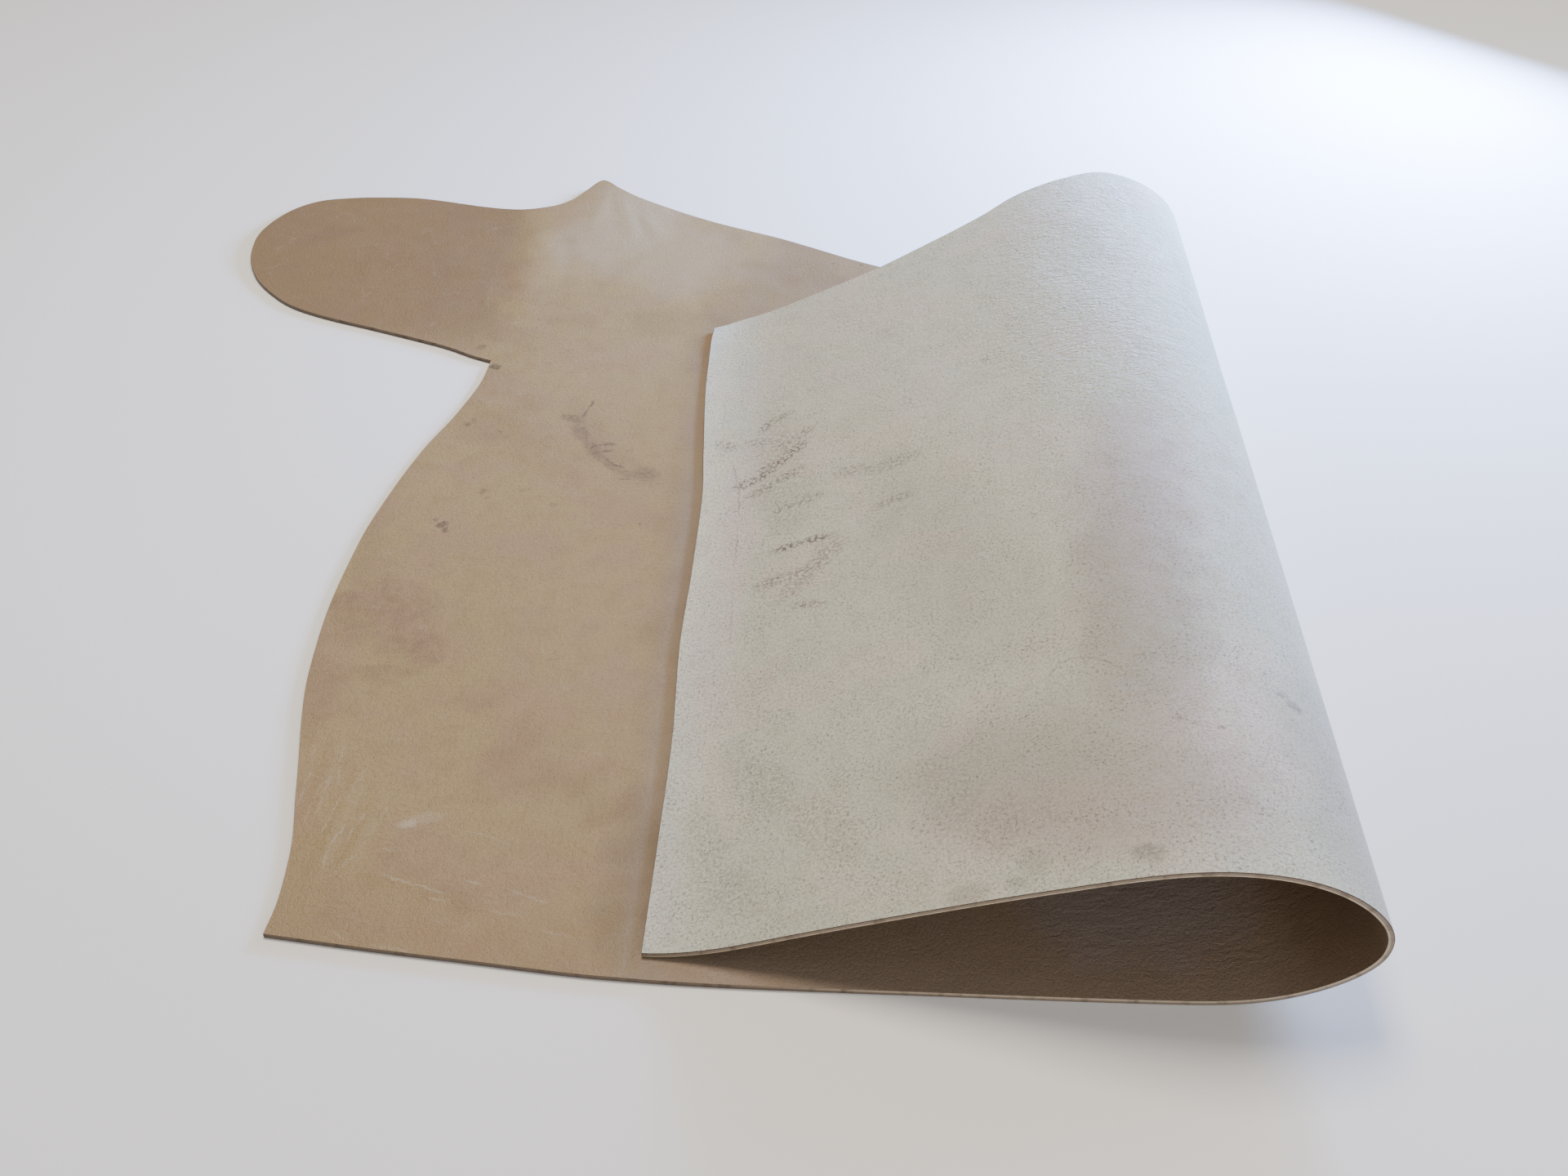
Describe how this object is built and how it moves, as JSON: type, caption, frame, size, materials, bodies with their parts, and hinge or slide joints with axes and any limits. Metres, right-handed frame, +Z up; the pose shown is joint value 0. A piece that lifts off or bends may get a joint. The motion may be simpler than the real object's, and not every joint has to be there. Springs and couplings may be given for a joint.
{
  "type": "vachetta leather",
  "caption": "Shoulder cut of thick vegetable-tanned leather lying grain side up, with a rounded foreleg lobe and one end folded back over itself in an open loop.",
  "frame": {"origin": "middle of the bounding box's footprint, on the surface that the leather lies on", "axes": "+X along the straight cut front edge from the foreleg towards the fold, +Y from the front edge back along the fold, +Z up"},
  "size_m": [0.811, 0.928, 0.1052],
  "materials": {
    "leather": "natural undyed grain with a soft sheen, nap on the flesh side"
  },
  "bodies": {
    "root": {"leather_sheet": "leather"}
  },
  "joints": []
}
